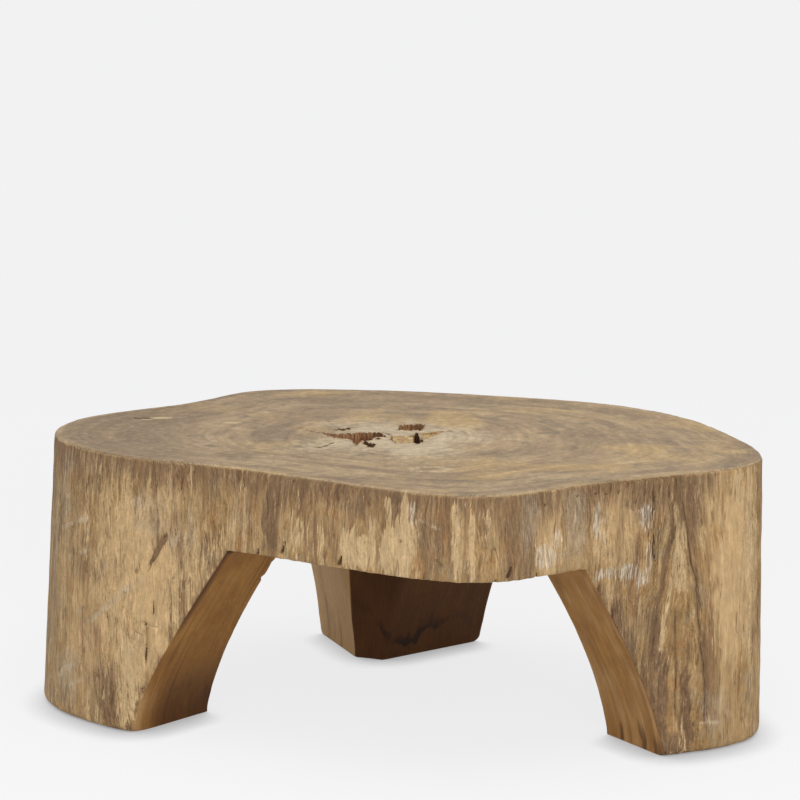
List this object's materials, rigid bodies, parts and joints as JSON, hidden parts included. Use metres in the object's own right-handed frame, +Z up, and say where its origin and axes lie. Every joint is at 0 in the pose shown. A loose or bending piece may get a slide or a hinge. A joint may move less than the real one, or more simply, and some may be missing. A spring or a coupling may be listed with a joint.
{
  "type": "carved wood coffee table",
  "caption": "Low coffee table worked from a trunk section: thick slab with a wavy natural rim and a broken open heart, carried on broad wall-like legs with curved flanks.",
  "frame": {"origin": "on the floor under the middle of the table's bounding box", "axes": "+X to the right as pictured, along the table's long side; +Y to the back, towards the rear leg; +Z up"},
  "size_m": [1.0392, 0.7097, 0.4],
  "materials": {
    "trunk_wood": "bare weathered trunk wood, debarked side with vertical grain, sawn and smoothed end grain on top",
    "dowel_wood": "turned plain dowel",
    "pale_heartwood": "split pale heartwood",
    "red_heartwood": "splintered red-brown heartwood"
  },
  "bodies": {
    "root": {"top_slab": "trunk_wood", "left_leg": "trunk_wood", "right_leg": "trunk_wood", "rear_leg": "trunk_wood", "left_leg_dowel_1": "dowel_wood", "left_leg_dowel_2": "dowel_wood", "right_leg_dowel_1": "dowel_wood", "right_leg_dowel_2": "dowel_wood", "rear_leg_dowel_1": "dowel_wood", "rear_leg_dowel_2": "dowel_wood", "heart_block": "pale_heartwood", "heart_splinter_1": "red_heartwood", "heart_splinter_2": "red_heartwood", "heart_splinter_3": "red_heartwood"}
  },
  "joints": []
}
